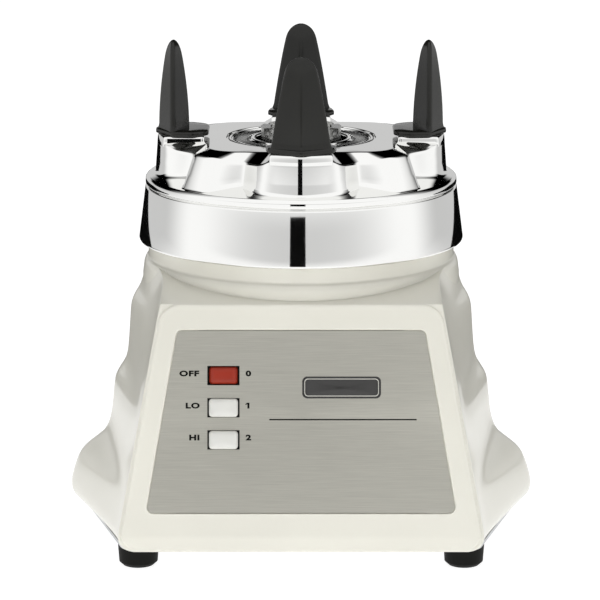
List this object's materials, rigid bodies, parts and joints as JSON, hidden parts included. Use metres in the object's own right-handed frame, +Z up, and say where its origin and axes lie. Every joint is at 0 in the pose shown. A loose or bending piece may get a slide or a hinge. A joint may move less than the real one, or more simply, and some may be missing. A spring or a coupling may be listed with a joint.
{
  "type": "bar blender motor base",
  "caption": "Countertop bar blender motor base: painted housing with push-button panel, chrome collar, upright jar posts in black sleeves, and a motor-driven coupling.",
  "frame": {"origin": "on the table under the drive shaft, at the centre of the base", "axes": "+Z up along the drive shaft, the control panel faces -Y, +X to the right of a person facing the panel"},
  "size_m": [0.2156, 0.1922, 0.2255],
  "materials": {
    "cream_paint": "gloss enamel",
    "chrome": "mirror plated",
    "panel_steel": "horizontal brushed grain",
    "zinc_sheet": "zinc plated sheet",
    "red_key": "gloss",
    "white_key": "gloss",
    "black_vinyl": "smooth glossy dipped vinyl",
    "foot_rubber": "matte",
    "seal_rubber": "matte",
    "coupling_steel": "turned and polished",
    "bearing_steel": "ground",
    "fastener_steel": "zinc plated",
    "spring_steel": "drawn wire",
    "lamination_steel": "stacked laminations",
    "copper": "enamelled copper",
    "cast_aluminium": "as cast",
    "brass_case": "satin",
    "carbon": "pressed carbon, matte",
    "black_plastic": "moulded"
  },
  "bodies": {
    "base": {"housing": "cream_paint", "floor_plate": "zinc_sheet", "foot_front_left": "foot_rubber", "foot_front_right": "foot_rubber", "foot_rear_left": "foot_rubber", "foot_rear_right": "foot_rubber", "foot_screws": "fastener_steel", "control_plate": "panel_steel", "switch_body": "black_plastic", "switch_bracket": "zinc_sheet", "switch_screws": "fastener_steel", "off_spring": "spring_steel", "low_spring": "spring_steel", "high_spring": "spring_steel", "collar": "chrome", "jar_posts": "fastener_steel", "jar_pad_front": "black_vinyl", "jar_pad_right": "black_vinyl", "jar_pad_rear": "black_vinyl", "jar_pad_left": "black_vinyl", "collar_screws": "fastener_steel", "shaft_seal": "seal_rubber", "upper_bearing_outer": "bearing_steel", "lower_bearing_outer": "bearing_steel", "stator_laminations": "lamination_steel", "field_coil_front": "copper", "field_coil_rear": "copper", "upper_end_bracket": "cast_aluminium", "lower_end_bracket": "cast_aluminium", "motor_bolts": "fastener_steel", "motor_grommets": "seal_rubber", "motor_screws": "fastener_steel", "brush_holder_left": "brass_case", "brush_holder_right": "brass_case", "brush_spring_left": "spring_steel", "brush_spring_right": "spring_steel", "cord_bushing": "black_plastic"},
    "rotor": {"motor_shaft": "bearing_steel", "drive_coupling": "coupling_steel", "slinger": "black_plastic", "upper_bearing_inner": "bearing_steel", "lower_bearing_inner": "bearing_steel", "armature_core": "lamination_steel", "armature_winding": "copper", "commutator": "copper", "cooling_fan": "black_plastic"},
    "upper_cage": {"upper_bearing_cage": "bearing_steel"},
    "lower_cage": {"lower_bearing_cage": "bearing_steel"},
    "off_key": {"off_button": "red_key"},
    "low_key": {"low_button": "white_key"},
    "high_key": {"high_button": "white_key"},
    "brush_left_slider": {"brush_left": "carbon"},
    "brush_right_slider": {"brush_right": "carbon"}
  },
  "joints": [
    {"name": "motor_spin", "type": "hinge", "parent": "base", "child": "rotor", "pos_m": [0, 0, 0.1], "axis": [0, 0, 1], "continuous": true},
    {"name": "upper_cage_spin", "type": "hinge", "parent": "base", "child": "upper_cage", "pos_m": [0, 0, 0.133], "axis": [0, 0, 1], "continuous": true},
    {"name": "lower_cage_spin", "type": "hinge", "parent": "base", "child": "lower_cage", "pos_m": [0, 0, 0.0475], "axis": [0, 0, 1], "continuous": true},
    {"name": "off_release", "type": "slide", "parent": "base", "child": "off_key", "axis": [0, -0.9842, 0.1771], "range_m": [0, 0.0032], "deforming": ["off_spring"]},
    {"name": "low_press", "type": "slide", "parent": "base", "child": "low_key", "axis": [0, 0.9842, -0.1771], "range_m": [0, 0.0032], "stiffness_N_per_m": 300, "deforming": ["low_spring"]},
    {"name": "high_press", "type": "slide", "parent": "base", "child": "high_key", "axis": [0, 0.9842, -0.1771], "range_m": [0, 0.0032], "stiffness_N_per_m": 300, "deforming": ["high_spring"]},
    {"name": "brush_left_slide", "type": "slide", "parent": "base", "child": "brush_left_slider", "axis": [-1, 0, 0], "range_m": [0, 0.004], "stiffness_N_per_m": 250, "springref_m": -0.004, "deforming": ["brush_spring_left"]},
    {"name": "brush_right_slide", "type": "slide", "parent": "base", "child": "brush_right_slider", "axis": [1, 0, 0], "range_m": [0, 0.004], "stiffness_N_per_m": 250, "springref_m": -0.004, "deforming": ["brush_spring_right"]}
  ],
  "couplings": [
    {"joint": "upper_cage_spin", "follows": "motor_spin", "ratio": 0.36667},
    {"joint": "lower_cage_spin", "follows": "motor_spin", "ratio": 0.36667}
  ]
}
